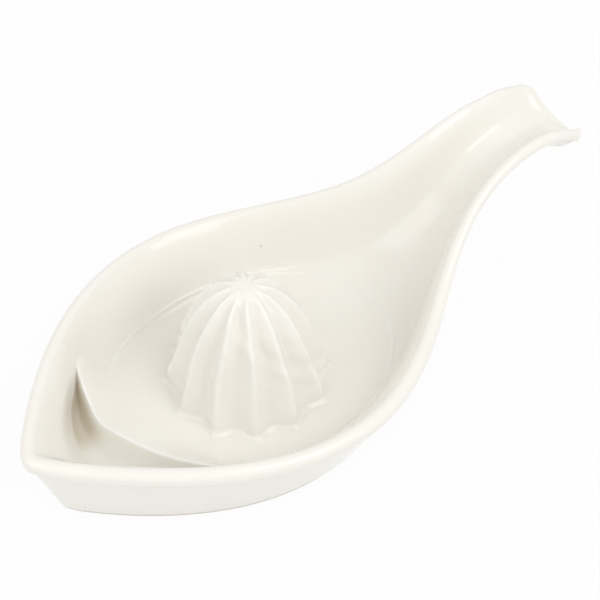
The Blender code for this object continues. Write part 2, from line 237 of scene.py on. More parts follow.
rim_height = spline(RIM_HEIGHTS)
handle_half_width = spline(WIDTH_STATIONS)
wall_foot_half_width = spline(WALL_FOOT_STATIONS)
gutter_height = spline(GUTTER_STATIONS)
end_shift = spline(END_SHIFTS)
weir_x = spline([(y, x) for y, x, _, _ in WEIR_STATIONS])
weir_rise = spline([(y, rise) for y, _, rise, _ in WEIR_STATIONS])
weir_run = spline([(y, run) for y, _, _, run in WEIR_STATIONS])


def smooth_step(value):
    share = np.clip(value, 0.0, 1.0)
    return share ** 2 * (3 - 2 * share)


def smooth_max(a, b, width):
    """The larger of two heights, with a fillet where they cross."""
    near = np.maximum(width - np.abs(a - b), 0) / width
    return np.maximum(a, b) + near ** 2 * width / 4


def leaf(share):
    """Half width of a leaf with a blunt tip, as a share, at a share of its reach."""
    left = np.maximum(0.0, 1 - share ** 2)
    return np.sqrt(left * (left + 2 * LIP_ROUNDING) / (1 + 2 * LIP_ROUNDING))


def rounded_end(x, end):
    """Share of its width that the handle keeps as it rounds off towards its end."""
    past = np.maximum(0.0, (x - end + HANDLE_CORNER) / HANDLE_CORNER)
    return np.maximum(0.0, 1 - past ** 3) ** (1 / 3)


def rim_stations():
    """Points of the rim's middle line, closer together at its ends, with its outward direction."""
    share = (1 - np.cos(np.linspace(0, math.pi, OUTLINE_SAMPLES))) / 2
    x = -LIP_REACH + (LIP_REACH + HANDLE_REACH) * share
    y = np.where(x < 0, BOWL_HALF_WIDTH * leaf(np.minimum(x, 0) / LIP_REACH),
                 handle_half_width(x) * rounded_end(x, HANDLE_REACH))
    run = np.concatenate([[0], np.cumsum(np.hypot(np.diff(x), np.diff(y)))])
    turn = np.linspace(0, 2 * math.pi, RIM_STATIONS + 1)
    even = run[-1] * (turn - END_CROWDING * np.sin(turn)) / (2 * math.pi)
    x_even, y_even = np.interp(even, run, x), np.interp(even, run, y)
    y_even[0] = y_even[-1] = 0
    out_x, out_y = -np.gradient(y_even), np.gradient(x_even)
    out_x[0], out_y[0], out_x[-1], out_y[-1] = -1, 0, 1, 0
    length = np.hypot(out_x, out_y)
    return x_even, y_even, out_x / length, out_y / length


RIM_X, RIM_Y, OUT_X, OUT_Y = rim_stations()


def end_dip(x, y):
    """How far the rim dips in the middle of the handle's end."""
    past = smooth_step((x - HANDLE_REACH + END_DIP_RUN) / END_DIP_RUN)
    return HANDLE_END_DIP * past * np.maximum(0, 1 - (y / HANDLE_END_HALF_WIDTH) ** 2) ** 2


def rim_ring(across, down):
    """Ring on the rim: so many of its radii outwards from its middle line, and below its top."""
    slimmer = smooth_step((RIM_X - FLARE_X) / (GRIP_X - FLARE_X))
    radius = RIM_RADIUS + (HANDLE_RIM_RADIUS - RIM_RADIUS) * slimmer
    z = rim_height(RIM_X) - end_dip(RIM_X, RIM_Y) - radius * down
    tall = END_TALL * smooth_step((RIM_X - HANDLE_REACH + END_TALL_RUN) / END_TALL_RUN)
    z = z - radius * np.maximum(down - 1, 0) * tall
    return np.stack([RIM_X + OUT_X * radius * across, RIM_Y + OUT_Y * radius * across, z], -1)


def in_handle(x):
    """How far the bowl has turned into the handle's gutter, from 0 to 1."""
    return smooth_step((x - BLEND_FROM) / (BLEND_TO - BLEND_FROM))


def gutter_edge(x):
    """Half width of the floor between the feet of the walls, and how much its edges rise."""
    rounding = rounded_end(x, GUTTER_END)
    return wall_foot_half_width(x) * rounding, GUTTER_EDGE_RISE * in_handle(x) * rounding


def wall_foot():
    """Ring at the foot of the wall, a little below the raised floor and along the gutter."""
    x = np.where(RIM_X < 0, -DECK_LIP_REACH * np.sin(math.pi / 2 * -RIM_X / LIP_REACH),
                 RIM_X * GUTTER_END / HANDLE_REACH)
    power = ROUND_POWER + (SPOUT_POWER - ROUND_POWER) * smooth_step((-x - SPOUT_FROM) / SPOUT_RUN)
    left = np.maximum(0.0, 1 - (np.abs(np.minimum(x, 0)) / DECK_LIP_REACH) ** power)
    y = np.where(x < 0, DECK_HALF_WIDTH * left ** (1 / power), gutter_edge(x)[0])
    y[0] = y[-1] = 0
    out_x, out_y = -np.gradient(y), np.gradient(x)
    out_x[0], out_y[0], out_x[-1], out_y[-1] = -1, 0, 1, 0
    length = np.hypot(out_x, out_y)
    blend = in_handle(x)
    inset = WALL_FOOT_INSET * (1 - blend)
    z = POCKET_HEIGHT * (1 - blend) + (gutter_height(x) + gutter_edge(x)[1]) * blend
    return np.stack([x - out_x / length * inset, y - out_y / length * inset, z], -1), blend


def centre_line(ring):
    """For each station the point where its line across ends: the bore's edge, or the middle line."""
    bore = ring[:, 0] <= BORE_RADIUS
    run = np.concatenate([[0], np.cumsum(np.hypot(*np.diff(ring[:, :2], axis=0).T))])
    last = np.nonzero(bore)[0][-1]
    turn = math.pi * (1 - run / run[last])
    x = np.where(bore, BORE_RADIUS * np.cos(turn), ring[:, 0])
    y = np.where(bore, BORE_RADIUS * np.sin(np.maximum(turn, 0)), 0.0)
    y[0] = y[last] = 0
    return np.stack([x, y], -1)


def ring_offset(x, y):
    """Distance outwards from the line round the raised floor."""
    reach = np.where(x < 0, RING_REACH_LIP, RING_REACH_HANDLE)
    spread = np.hypot(x / reach, y / RING_HALF_WIDTH)
    slope = np.hypot(x / reach ** 2, y / RING_HALF_WIDTH ** 2) / np.maximum(spread, 1e-6)
    return (spread - 1) / np.maximum(slope, 1e-6)


def floor_height(x, y):
    """Height of the floor: raised floor, weir, pocket and the gutter's bottom."""
    past = x - weir_x(y)
    crest = DECK_HEIGHT + weir_rise(y)
    deck = DECK_HEIGHT + weir_rise(y) * np.exp(-(np.maximum(past, 0) / WEIR_WIDTH) ** 2)
    fall = (np.hypot(past, WEIR_EDGE) - WEIR_EDGE) / weir_run(y)
    drop = POCKET_HEIGHT + (crest - POCKET_HEIGHT) * np.maximum(1 - fall, 0) ** WEIR_CURVE
    floor = np.where(past >= 0, deck, drop)
    half_width, rise = gutter_edge(x)
    gutter = gutter_height(x) + GUTTER_CROWN * rise * (1 - np.exp(-(y / np.maximum(half_width, 1.0)) ** 2))
    return np.where(x > GUTTER_FROM, smooth_max(gutter, floor, FLOOR_FILLET), floor)


def ring_line(x, y):
    """Rise of the fine line round the raised floor, which stops short of the weir."""
    fade = smooth_step((x - weir_x(y) - RING_FROM) / RING_FADE)
    return RING_RISE * np.exp(-(ring_offset(x, y) / RING_WIDTH) ** 2) * fade


def wall_curve(length, height, turn, blend, share):
    """Distance inwards and drop along the wall's line, from the rim's edge to the wall's foot."""
    slope = WALL_FOOT_SLOPE * (1 - blend) + GUTTER_FOOT_SLOPE * blend
    run = np.hypot(length, height) * WALL_BOW
    along = [(0, 0), (np.cos(turn) * run * WALL_TOP_BOW, np.sin(turn) * run * WALL_TOP_BOW)]
    across = run / np.hypot(1, slope)
    along += [(length - across, height - across * slope), (length, height)]
    weights = ((1 - share) ** 3, 3 * share * (1 - share) ** 2, 3 * share ** 2 * (1 - share), share ** 3)
    inward = sum(w * np.asarray(p[0])[..., None] for w, p in zip(weights, along))
    down = sum(w * np.asarray(p[1])[..., None] for w, p in zip(weights, along))
    return inward, down


def rim_turn():
    """How far round the rim's inner side runs before the wall takes over, in radians."""
    past = smooth_step((RIM_X - HANDLE_REACH + RIM_TURN_RUN) / RIM_TURN_RUN)
    return np.radians(RIM_TURN + (RIM_TURN_AT_END - RIM_TURN) * past)


def even_places(run):
    """Where each line takes its points, evenly along its run, with no jump from line to line."""
    index = np.arange(run.shape[1])
    places = np.stack([np.interp(np.linspace(0, r[-1], WALL_STEPS + 1), r, index) for r in run])
    half = SPREAD_ROWS // 2
    weights = np.hanning(SPREAD_ROWS + 2)[1:-1]
    padded = np.pad(places, ((half, half), (0, 0)), "edge")
    smooth = sum(w * padded[k:k + len(places)] for k, w in enumerate(weights / weights.sum()))
    row = np.arange(len(places))
    share = smooth_step(np.minimum(row, row[::-1]) / half)[:, None]
    return places + (smooth - places) * share


def wall_fillet(x, y, depth, blend):
    """Width of the fillet at the wall's foot, tighter in the slot behind the weir's high end."""
    fillet = WALL_FILLET * (1 - blend) + GUTTER_FILLET * blend
    slot = smooth_step(weir_rise(y) / SLOT_RISE) * np.exp(-((x - weir_x(y)) / SLOT_WIDTH) ** 2)
    slot = slot * (x < 0) * (y > 0)
    return np.minimum(fillet * (1 - SLOT_TIGHTENING * slot), LEAST_FILLET + np.maximum(depth, 0))


def inner_samples(side):
    """Fine samples of the lines across the inside of one side: places, heights, and their feet."""
    turn = rim_turn()
    top = rim_ring(-np.sin(turn), 1 - np.cos(turn))
    foot, blend = wall_foot()
    centre = centre_line(foot)
    length = np.hypot(*(foot - top)[:, :2].T)
    height = top[:, 2] - foot[:, 2]
    share = np.linspace(0, 1, LINE_SAMPLES)[None, :]
    inward, down = wall_curve(length, height, turn, blend, share)
    direction = (foot - top)[:, None, :2] / np.maximum(length, 1e-6)[:, None, None]
    on_wall = top[:, None, :2] + direction * inward[..., None]
    on_floor = foot[:, None, :2] + (centre - foot[:, :2])[:, None, :] * share[:, 1:, None]
    inset = np.hypot(on_floor[..., 0] - foot[:, None, 0], on_floor[..., 1] - foot[:, None, 1])
    slope = (WALL_FOOT_SLOPE * (1 - blend) + GUTTER_FOOT_SLOPE * blend)[:, None]
    plan = np.concatenate([on_wall, on_floor], 1)
    wall = np.concatenate([top[:, 2][:, None] - down, foot[:, 2][:, None] - slope * inset], 1)
    x, y = plan[..., 0], plan[..., 1] * side
    fillet = wall_fillet(x, y, top[:, 2][:, None] - wall, blend[:, None])
    z = smooth_max(wall, floor_height(x, y), fillet) + ring_line(x, y)
    return plan, z, foot


def crowding(x, y, foot_x):
    """How much closer together than elsewhere the points lie near the weir and the ring."""
    near = WEIR_CROWDING * np.exp(-((x - weir_x(y)) / WEIR_CROWDING_WIDTH) ** 2) * (x < 0)
    share = 1 - smooth_step((foot_x - RING_CROWDING_TO) / RING_CROWDING_RUN)[:, None]
    return near + RING_CROWDING * np.exp(-(ring_offset(x, y) / RING_CROWDING_WIDTH) ** 2) * share


def inner_lines(side):
    """Lines across the inside, from the rim's inner edge to the bore or the middle, on one side."""
    plan, z, foot = inner_samples(side)
    x, y = plan[..., 0], plan[..., 1] * side
    step = np.sqrt(np.diff(x) ** 2 + np.diff(y) ** 2 + (HEIGHT_WEIGHT * np.diff(z)) ** 2)
    weighted = step * (1 + crowding(x[:, 1:], y[:, 1:], foot[:, 0]))
    run = np.concatenate([np.zeros((len(x), 1)), np.cumsum(weighted, 1)], 1)
    places = even_places(run)
    index = np.arange(run.shape[1])
    line = np.empty((len(x), WALL_STEPS + 1, 3))
    for i in range(len(x)):
        for axis, values in enumerate((x[i], plan[i, :, 1], z[i])):
            line[i, :, axis] = np.interp(places[i], index, values)
    return line


def under_lines():
    """Ring where the outer wall meets the underside, along the foot and under the handle."""
    end = HANDLE_REACH - HANDLE_THICKNESS
    x = np.where(RIM_X < 0, RIM_X * FOOT_LIP_REACH / LIP_REACH, RIM_X * end / HANDLE_REACH)
    bowl = FOOT_HALF_WIDTH * np.sqrt(np.maximum(0.0, 1 - (x / FOOT_HANDLE_REACH) ** 2))
    handle = wall_foot_half_width(x) * rounded_end(x, end) * in_handle(x)
    y = np.where(RIM_X < 0, FOOT_HALF_WIDTH * leaf(np.minimum(x, 0) / FOOT_LIP_REACH),
                 (bowl ** UNDERSIDE_POWER + handle ** UNDERSIDE_POWER) ** (1 / UNDERSIDE_POWER))
    y[0] = y[-1] = 0
    thinner = (HANDLE_THICKNESS - END_THICKNESS) * smooth_step((x - END_THICKNESS_FROM) / END_THICKNESS_RUN)
    low = gutter_height(x) - HANDLE_THICKNESS + thinner
    rise = (low - FOOT_HEIGHT) * smooth_step((x - FOOT_HANDLE_REACH) / UNDERSIDE_BLEND)
    z = FOOT_HEIGHT + np.where(x > FOOT_HANDLE_REACH, rise, 0)
    return np.stack([x, y, z], -1)


def outer_rings():
    """Rings from the rim's inner edge over its top, down the bead and the wall, to the underside."""
    rings = []
    turn = rim_turn()
    for i in range(1, RIM_STEPS):
        angle = turn + (-math.pi / 2 - turn) * i / RIM_STEPS
        rings.append(rim_ring(-np.sin(angle), 1 - np.cos(angle)))
    bead_low = 1 + BEAD_DROP
    rings += [rim_ring(1, 1), rim_ring(1, 1 + BEAD_DROP * BEAD_MIDDLE)]
    for i in range(BEAD_STEPS):
        angle = math.pi / 2 * i / (BEAD_STEPS - 1)
        rings.append(rim_ring(1 - BEAD_STEP * BEAD_EDGE_STEP * (1 - math.cos(angle)),
                              bead_low - BEAD_DROP * BEAD_EDGE_DROP * (1 - math.sin(angle))))
    under = under_lines()
    start = rim_ring(1 - BEAD_STEP, bead_low)
    for i in range(OUTER_STEPS):
        share = i / (OUTER_STEPS - 1)
        ring = start + (under - start) * share
        inward = (share ** (1 + UNDERSIDE_BULGE * in_handle(RIM_X)))[:, None]
        ring[:, :2] = start[:, :2] + (under - start)[:, :2] * inward
        rings.append(ring)
    return rings, under


def grid_faces(rows, columns, flip=False):
    """Four-sided faces between the points of a grid."""
    faces = []
    for i in range(rows - 1):
        for j in range(columns - 1):
            a, b = i * columns + j, (i + 1) * columns + j
            face = (a, a + 1, b + 1, b)
            faces.append(face[::-1] if flip else face)
    return faces


def warp(points):
    """Points with the handle's end sagging towards its front corner and its back edge raised."""
    x, y = points[:, 0], points[:, 1]
    past = smooth_step((x - END_SHIFT_FROM) / (HANDLE_REACH - END_SHIFT_FROM))
    moved = points.copy()
    moved[:, 2] += end_shift(y) * past
    back = smooth_step((y - BACK_SIDE_FROM) / BACK_SIDE_RUN)
    back = back * smooth_step((x - BACK_RISE_FROM) / BACK_RISE_RUN)
    moved[:, 2] += BACK_RISE * back
    front = (HANDLE_END_HALF_WIDTH - y) / (2 * HANDLE_END_HALF_WIDTH)
    front = np.clip(front, 0, FRONT_SHARE_MOST)
    moved[:, 0] += END_TWIST_REACH * front ** 2 * past
    return moved


def make_object(name, points, faces):
    """Smooth mesh from points in millimetres. A pair of open loops, the dish's bore, gets a wall
    with sharp edges."""
    mesh = bpy.data.meshes.new(name)
    mesh.from_pydata((np.asarray(points) * MM).tolist(), [], faces)
    body = bmesh.new()
    body.from_mesh(mesh)
    bmesh.ops.remove_doubles(body, verts=body.verts, dist=MERGE_DISTANCE)
    bmesh.ops.dissolve_degenerate(body, edges=body.edges, dist=LEAST_EDGE)
    open_edges = [edge for edge in body.edges if edge.is_boundary]
    if open_edges:
        for edge in open_edges:
            edge.smooth = False
        bmesh.ops.bridge_loops(body, edges=open_edges)
    bmesh.ops.recalc_face_normals(body, faces=body.faces)
    body.to_mesh(mesh)
    body.free()
    mesh.transform(Matrix.Translation((REAMER_X, 0, 0)))
    mesh.shade_smooth()
    obj = bpy.data.objects.new(name, mesh)
    bpy.context.scene.collection.objects.link(obj)
    return obj


def under_middle(under):
    """Where the underside's lines end: at the bore or on the middle line. Near the handle's end they
    slant back, so that they don't end on one point."""
    centre = centre_line(under)
    slant = UNDERSIDE_SLANT * smooth_step((under[:, 0] - SLANT_FROM) / SLANT_RUN)
    centre[:, 0] -= slant * under[:, 1]
    height = np.interp(centre[:, 0], under[:, 0], under[:, 2])
    return np.concatenate([centre, height[:, None]], 1)


def build_dish():
    points, faces = [], []
    outer, under = outer_rings()
    middle = under_middle(under)
    for side in (1, -1):
        inner = inner_lines(side)
        columns = [inner[:, j] for j in range(WALL_STEPS, -1, -1)] + outer
        columns += [under + (middle - under) * share for share in (0.25, 0.5, 0.75, 1.0)]
        grid = np.stack(columns, 0)
        grid[..., 1] *= side
        first = len(points)
        points += grid.reshape(-1, 3).tolist()
        for face in grid_faces(*grid.shape[:2], side < 0):
            faces.append(tuple(first + k for k in face))
    return make_object("dish_body", warp(np.array(points)), faces)


def dome(turn, radius, height):
    """Radius and height of the blunt dome at an angle up its side."""
    return radius * np.cos(turn) ** REAMER_TAPER, height * np.sin(turn) ** REAMER_SWELL


def uneven(angles, seed):
    """Slow waves round the reamer, mostly between -1 and 1."""
    waves = np.zeros_like(angles)
    for k in range(1, 8):
        waves += np.sin(angles * (k * 2 + 1) + seed * (k * 1.7 + 0.4)) / 3.2
    return waves


def dome_normal(turn):
    """Outward direction of the blunt dome at an angle up its side, as parts outwards and up."""
    ahead = dome(min(turn + NORMAL_STEP, math.pi / 2), 1, 1)
    behind = dome(max(turn - NORMAL_STEP, 0), 1, 1)
    dr = (ahead[0] - behind[0]) * REAMER_RADIUS
    dz = (ahead[1] - behind[1]) * REAMER_HEIGHT
    size = math.hypot(dr, dz)
    return dz / size, -dr / size


def flute_ring(turn, angles):
    """Ring of the fluted surface at an angle up the dome's side."""
    radius, height = dome(turn, REAMER_RADIUS, REAMER_HEIGHT)
    normal_r, normal_z = dome_normal(turn)
    share = height / REAMER_HEIGHT
    wander = FLUTE_WANDER * np.sin(share * 9 + angles * 3)
    lean = (angles - REAMER_TURN + wander) * REAMER_FLUTES / 2
    blunt = smooth_step((share - ROUNDING_FROM) / ROUNDING_RUN)
    soft = RIDGE_ROUNDING + (RIDGE_ROUNDING_AT_TIP - RIDGE_ROUNDING) * blunt
    groove = (np.hypot(np.sin(lean), soft) - soft) / (math.hypot(1, soft) - soft)
    shallow = smooth_step((share - SHALLOW_FROM) / SHALLOW_RUN)
    depth = FLUTE_DEPTH + (FLUTE_DEPTH_AT_TIP - FLUTE_DEPTH) * shallow
    depth = depth * (1 + FLUTE_UNEVENNESS * uneven(angles, 1.0 + share * 0.5))
    depth = depth * smooth_step((radius - TIP_RADIUS) / TIP_RUN)
    waves = WALL_UNEVENNESS * uneven(angles, 4.0 + share * 3)
    off = depth * groove + waves * smooth_step(radius / UNEVENNESS_RUN)
    r = np.maximum(radius - normal_r * off, 0.0)
    z = np.maximum(height - normal_z * off * smooth_step(share / BASE_SHARE), 0)
    r = r + BASE_FILLET * np.maximum(0.0, 1 - z / BASE_FILLET) ** 2
    return np.stack([r * np.cos(angles), r * np.sin(angles), DECK_HEIGHT + z], -1)


def flat_ring(radius, height, angles):
    heights = np.full_like(angles, height)
    return np.stack([radius * np.cos(angles), radius * np.sin(angles), heights], -1)


def build_reamer():
    angles = np.linspace(0, 2 * math.pi, REAMER_SEGMENTS, endpoint=False)
    levels = np.linspace(0, 1, REAMER_LEVELS) ** LEVEL_CROWDING * math.pi / 2
    rings = [flute_ring(turn, angles) for turn in levels]
    inside = []
    for turn in levels[::-HOLLOW_EVERY]:
        radius, height = dome(turn, REAMER_HOLLOW_RADIUS, REAMER_HOLLOW_HEIGHT)
        inside.append(flat_ring(radius, DECK_HEIGHT + height, angles))
    low, collar = FOOT_HEIGHT + COLLAR_GAP, BORE_RADIUS + COLLAR_OVERLAP
    for radius, height in ((REAMER_HOLLOW_RADIUS, low), (collar, low), (collar, DECK_HEIGHT - BASE_SINK)):
        inside.append(flat_ring(radius, height, angles))
    grid = np.stack(rings + inside + [rings[0] - [0, 0, BASE_SINK], rings[0]], 0)
    grid = np.concatenate([grid, grid[:, :1]], 1)
    return make_object("reamer_body", grid.reshape(-1, 3), grid_faces(*grid.shape[:2]))


def foot_outline(inset):
    """Outline of the foot, so far in from the outer wall's lower edge."""
    turn = np.linspace(-math.pi, math.pi, FOOT_SEGMENTS + 1)
    x = np.cos(turn)
    share = np.sin(math.pi / 2 * np.maximum(-x, 0))
    lip_x = -(FOOT_LIP_REACH - inset * FOOT_LIP_INSET) * share
    lip_y = (FOOT_HALF_WIDTH - inset) * leaf(share)
    bowl_y = (FOOT_HALF_WIDTH - inset) * np.sqrt(np.maximum(0, 1 - x ** 2))
    out_x = np.where(x < 0, lip_x, (FOOT_HANDLE_REACH - inset) * x)
    out_y = np.where(x < 0, lip_y, bowl_y) * np.sign(turn)
    out_y[0] = out_y[-1] = 0
    return np.stack([out_x, out_y], -1)


def build_foot():
    outer, inner = FOOT_INSET, FOOT_INSET + FOOT_WIDTH
    bevel = FOOT_BEVEL * FOOT_EDGE
    section = ((outer, FOOT_HEIGHT), (outer, FOOT_EDGE), (outer + bevel, bevel), (outer + FOOT_EDGE, 0),
               (inner - FOOT_EDGE, 0), (inner - bevel, bevel), (inner, FOOT_EDGE),
               (inner, FOOT_HEIGHT), (outer, FOOT_HEIGHT))
    rings = []
    for inset, height in section:
        ring = foot_outline(inset)
        rings.append(np.concatenate([ring, np.full((len(ring), 1), float(height))], 1))
    grid = np.stack(rings, 0)
    return make_object("foot_body", grid.reshape(-1, 3), grid_faces(*grid.shape[:2]))


dish = build_dish()
reamer = build_reamer()
foot = build_foot()
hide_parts("dish", "reaming_deck")
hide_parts("reamer")
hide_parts("foot_ring")
for piece in (dish, reamer, foot):
    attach(piece, "root")

# Glaze and bisque: where highlight and shade are painted on the glaze, in millimetres and shares, and the
# colours
FACES_UP = 0.03
POCKET_MARGIN = 0.5
# Reach of the painted shade in the slot behind the weir's high end
SLOT_DEPTH_RUN, SLOT_SIDE_RUN, SLOT_Y_FROM, SLOT_Y_RUN = 4.0, 1.5, 7.0, 9.0
# Width and depth of the painted highlight along the weir's crest and the ring line
CREST_WIDTH, CREST_DEPTH = 0.7, 1.0
RING_HIGHLIGHT, RING_HIGHLIGHT_WIDTH, RING_HIGHLIGHT_DEPTH = 0.6, 0.6, 1.2
# Painted shade deep in the reamer's flutes and painted highlight along its ridges
FLUTE_PAINTED_SHADE, SHADE_SHARPNESS, SHADE_FROM, SHADE_TO = 0.08, 6, 0.2, 0.3
RIDGE_PAINTED_HIGHLIGHT, RIDGE_SHARE = 0.5, 0.35
CREAM, DEEPER_CREAM = (0.868, 0.848, 0.790), (0.851, 0.825, 0.760)
# Colours of the painted highlight and the painted shade
PAINTED_HIGHLIGHT_COLOUR, PAINTED_SHADE_COLOUR = (0.905, 0.895, 0.860), (0.66, 0.61, 0.50)
GLAZE_SPECK = (0.42, 0.33, 0.22)
CLAY, DARKER_CLAY, CLAY_SPECK = (0.78, 0.715, 0.60), (0.70, 0.63, 0.515), (0.45, 0.36, 0.26)


def mark(obj, name, values):
    """Number for each point of a mesh, by which its material paints highlight and shade on the glaze."""
    layer = obj.data.attributes.new(name, "FLOAT", "POINT")
    layer.data.foreach_set("value", np.clip(values, 0, 1).astype(np.float32))


def mesh_points(obj):
    """Places of a mesh's points in millimetres from the reamer's axis."""
    flat = np.empty(len(obj.data.vertices) * 3)
    obj.data.vertices.foreach_get("co", flat)
    return (flat.reshape(-1, 3) - [REAMER_X, 0, 0]).T / MM


def mark_dish(obj):
    """Painted brown shade in the slot behind the weir, and painted highlights along the weir's crest and
    the ring.
    """
    x, y, z = mesh_points(obj)
    past = x - weir_x(y)
    below = DECK_HEIGHT + weir_rise(y) - z
    normals = np.empty(len(x) * 3)
    obj.data.vertex_normals.foreach_get("vector", normals)
    inside = normals.reshape(-1, 3)[:, 2] > FACES_UP
    inside = inside & (np.abs(y) < DECK_HALF_WIDTH) & (x > -DECK_LIP_REACH)
    inside = inside & (z > POCKET_HEIGHT - POCKET_MARGIN)
    # Painted shade in the slot behind the weir's high end, on glaze that faces up
    slot = smooth_step(below / SLOT_DEPTH_RUN) * smooth_step(-past / SLOT_SIDE_RUN)
    slot = slot * smooth_step((y - SLOT_Y_FROM) / SLOT_Y_RUN)
    mark(obj, "painted_shade", slot * inside * (x < 0) * (y > 0))
    # Painted highlight along the weir's crest and, fainter, along the ring line
    crest = np.exp(-(past / CREST_WIDTH) ** 2) * np.exp(-(below / CREST_DEPTH) ** 2)
    ring = np.exp(-(ring_offset(x, y) / RING_HIGHLIGHT_WIDTH) ** 2)
    ring = ring * smooth_step((past - RING_FROM) / RING_FADE) * (np.abs(z - DECK_HEIGHT) < RING_HIGHLIGHT_DEPTH)
    mark(obj, "painted_highlight", (crest + RING_HIGHLIGHT * ring) * inside)


def mark_reamer(obj):
    """Painted highlights along the reamer's ridges, and a little painted shade deep in its flutes."""
    x, y, z = mesh_points(obj)
    groove = np.abs(np.sin((np.arctan2(y, x) - REAMER_TURN) * REAMER_FLUTES / 2))
    up = (z - DECK_HEIGHT) / REAMER_HEIGHT
    side = smooth_step(up / SHADE_FROM)
    # Painted shade deep in the flutes
    painted_shade = FLUTE_PAINTED_SHADE * groove ** SHADE_SHARPNESS * side * smooth_step((1 - up) / SHADE_TO)
    mark(obj, "painted_shade", painted_shade)
    # Painted highlight along the ridges
    mark(obj, "painted_highlight", RIDGE_PAINTED_HIGHLIGHT * np.maximum(1 - groove / RIDGE_SHARE, 0) * side)


class Surface:
    """Nodes of one material, placed by the object's own coordinates."""

    def __init__(self, name):
        self.material = bpy.data.materials.new(name)
        self.material.use_nodes = True
        self.nodes, self.links = self.material.node_tree.nodes, self.material.node_tree.links
        self.shader = self.nodes["Principled BSDF"]
        self.place = self.nodes.new("ShaderNodeTexCoord").outputs["Object"]

    def noise(self, scale, detail=2.0):
        node = self.nodes.new("ShaderNodeTexNoise")
        node.inputs["Scale"].default_value = scale
        node.inputs["Detail"].default_value = detail
        self.links.new(self.place, node.inputs["Vector"])
        return node.outputs["Fac"]

    def ranged(self, source, low, high, to_low, to_high):
        node = self.nodes.new("ShaderNodeMapRange")
        for socket, value in zip(node.inputs[1:5], (low, high, to_low, to_high)):
            socket.default_value = value
        self.links.new(source, node.inputs[0])
        return node.outputs[0]

    def number(self, name):
        node = self.nodes.new("ShaderNodeAttribute")
        node.attribute_name = name
        return node.outputs["Fac"]

    def product(self, a, b):
        node = self.nodes.new("ShaderNodeMath")
        node.operation = "MULTIPLY"
        self.links.new(a, node.inputs[0])
        self.links.new(b, node.inputs[1])
        return node.outputs[0]

    def blend(self, factor, a, b):
        node = self.nodes.new("ShaderNodeMix")
        node.data_type = "RGBA"
        self.links.new(factor, node.inputs[0])
        for socket, value in ((node.inputs[6], a), (node.inputs[7], b)):
            if isinstance(value, tuple):
                socket.default_value = (*value, 1)
            else:
                self.links.new(value, socket)
        return node.outputs[2]

    def bump(self, height, distance, strength, below=None):
        node = self.nodes.new("ShaderNodeBump")
        node.inputs["Distance"].default_value = distance
        node.inputs["Strength"].default_value = strength
        self.links.new(height, node.inputs["Height"])
        if below is not None:
            self.links.new(below, node.inputs["Normal"])
        return node.outputs["Normal"]

    def specks(self, scale, radius, share):
        """Tiny round spots at a few of the points of a scattered pattern."""
        node = self.nodes.new("ShaderNodeTexVoronoi")
        node.inputs["Scale"].default_value = scale
        self.links.new(self.place, node.inputs["Vector"])
        split = self.nodes.new("ShaderNodeSeparateColor")
        self.links.new(node.outputs["Color"], split.inputs[0])
        chosen = self.ranged(split.outputs[0], 1 - share, 1 - share + 0.001, 0, 1)
        spot = self.ranged(node.outputs["Distance"], radius * scale * 0.6, radius * scale, 1, 0)
        return self.product(chosen, spot)

    def finish(self, colour, roughness, normal):
        self.links.new(colour, self.shader.inputs["Base Color"])
        self.links.new(roughness, self.shader.inputs["Roughness"])
        self.links.new(normal, self.shader.inputs["Normal"])
        return self.material


def cream_glaze():
    surface = Surface("cream_glaze")
    cloud = surface.ranged(surface.noise(16, 3), 0.3, 0.7, 0, 1)
    colour = surface.blend(cloud, CREAM, DEEPER_CREAM)
    # Painted highlights on the crest, ring and ridges, and painted shade in the slot and flutes
    colour = surface.blend(surface.number("painted_highlight"), colour, PAINTED_HIGHLIGHT_COLOUR)
    colour = surface.blend(surface.number("painted_shade"), colour, PAINTED_SHADE_COLOUR)
    colour = surface.blend(surface.specks(190, 0.00032, 0.07), colour, GLAZE_SPECK)
    roughness = surface.ranged(surface.noise(34, 4), 0.3, 0.7, 0.07, 0.14)
    slow = surface.bump(surface.noise(48, 1), 0.0005, 0.22)
    fine = surface.bump(surface.noise(420, 2), 0.00006, 0.25, slow)
    return surface.finish(colour, roughness, fine)


def bare_clay():
    surface = Surface("bare_clay")
    cloud = surface.ranged(surface.noise(30, 4), 0.3, 0.7, 0, 1)
    colour = surface.blend(cloud, CLAY, DARKER_CLAY)
    colour = surface.blend(surface.specks(420, 0.00035, 0.2), colour, CLAY_SPECK)
    roughness = surface.ranged(surface.noise(160, 3), 0.3, 0.7, 0.72, 0.92)
    return surface.finish(colour, roughness, surface.bump(surface.noise(1500, 4), 0.0003, 0.5))


mark_dish(dish)
mark_reamer(reamer)
glaze = cream_glaze()
for obj in (dish, reamer):
    obj.data.materials.append(glaze)
foot.data.materials.append(bare_clay())

# Floor, world and lamps, with places in metres. The floor's share is how much of the background's
# white it shows.
FLOOR_SHARE = 0.94
FLOOR_REACH = 4.0
LAMP_TARGET = (0, 0, 0.02)
FLOOR_TONE, FLOOR_ROUGHNESS = 0.8, 0.9
WORLD_STRENGTH = 0.82
BACKGROUND_STRENGTH = 1.0


def seen_rays(nodes, links):
    """1 for rays that see the background: straight from the camera, in gloss or through glass."""
    path = nodes.new("ShaderNodeLightPath")
    either = path.outputs["Is Camera Ray"]
    for name in ("Is Glossy Ray", "Is Transmission Ray"):
        node = nodes.new("ShaderNodeMath")
        node.operation = "MAXIMUM"
        links.new(either, node.inputs[0])
        links.new(path.outputs[name], node.inputs[1])
        either = node.outputs[0]
    return either


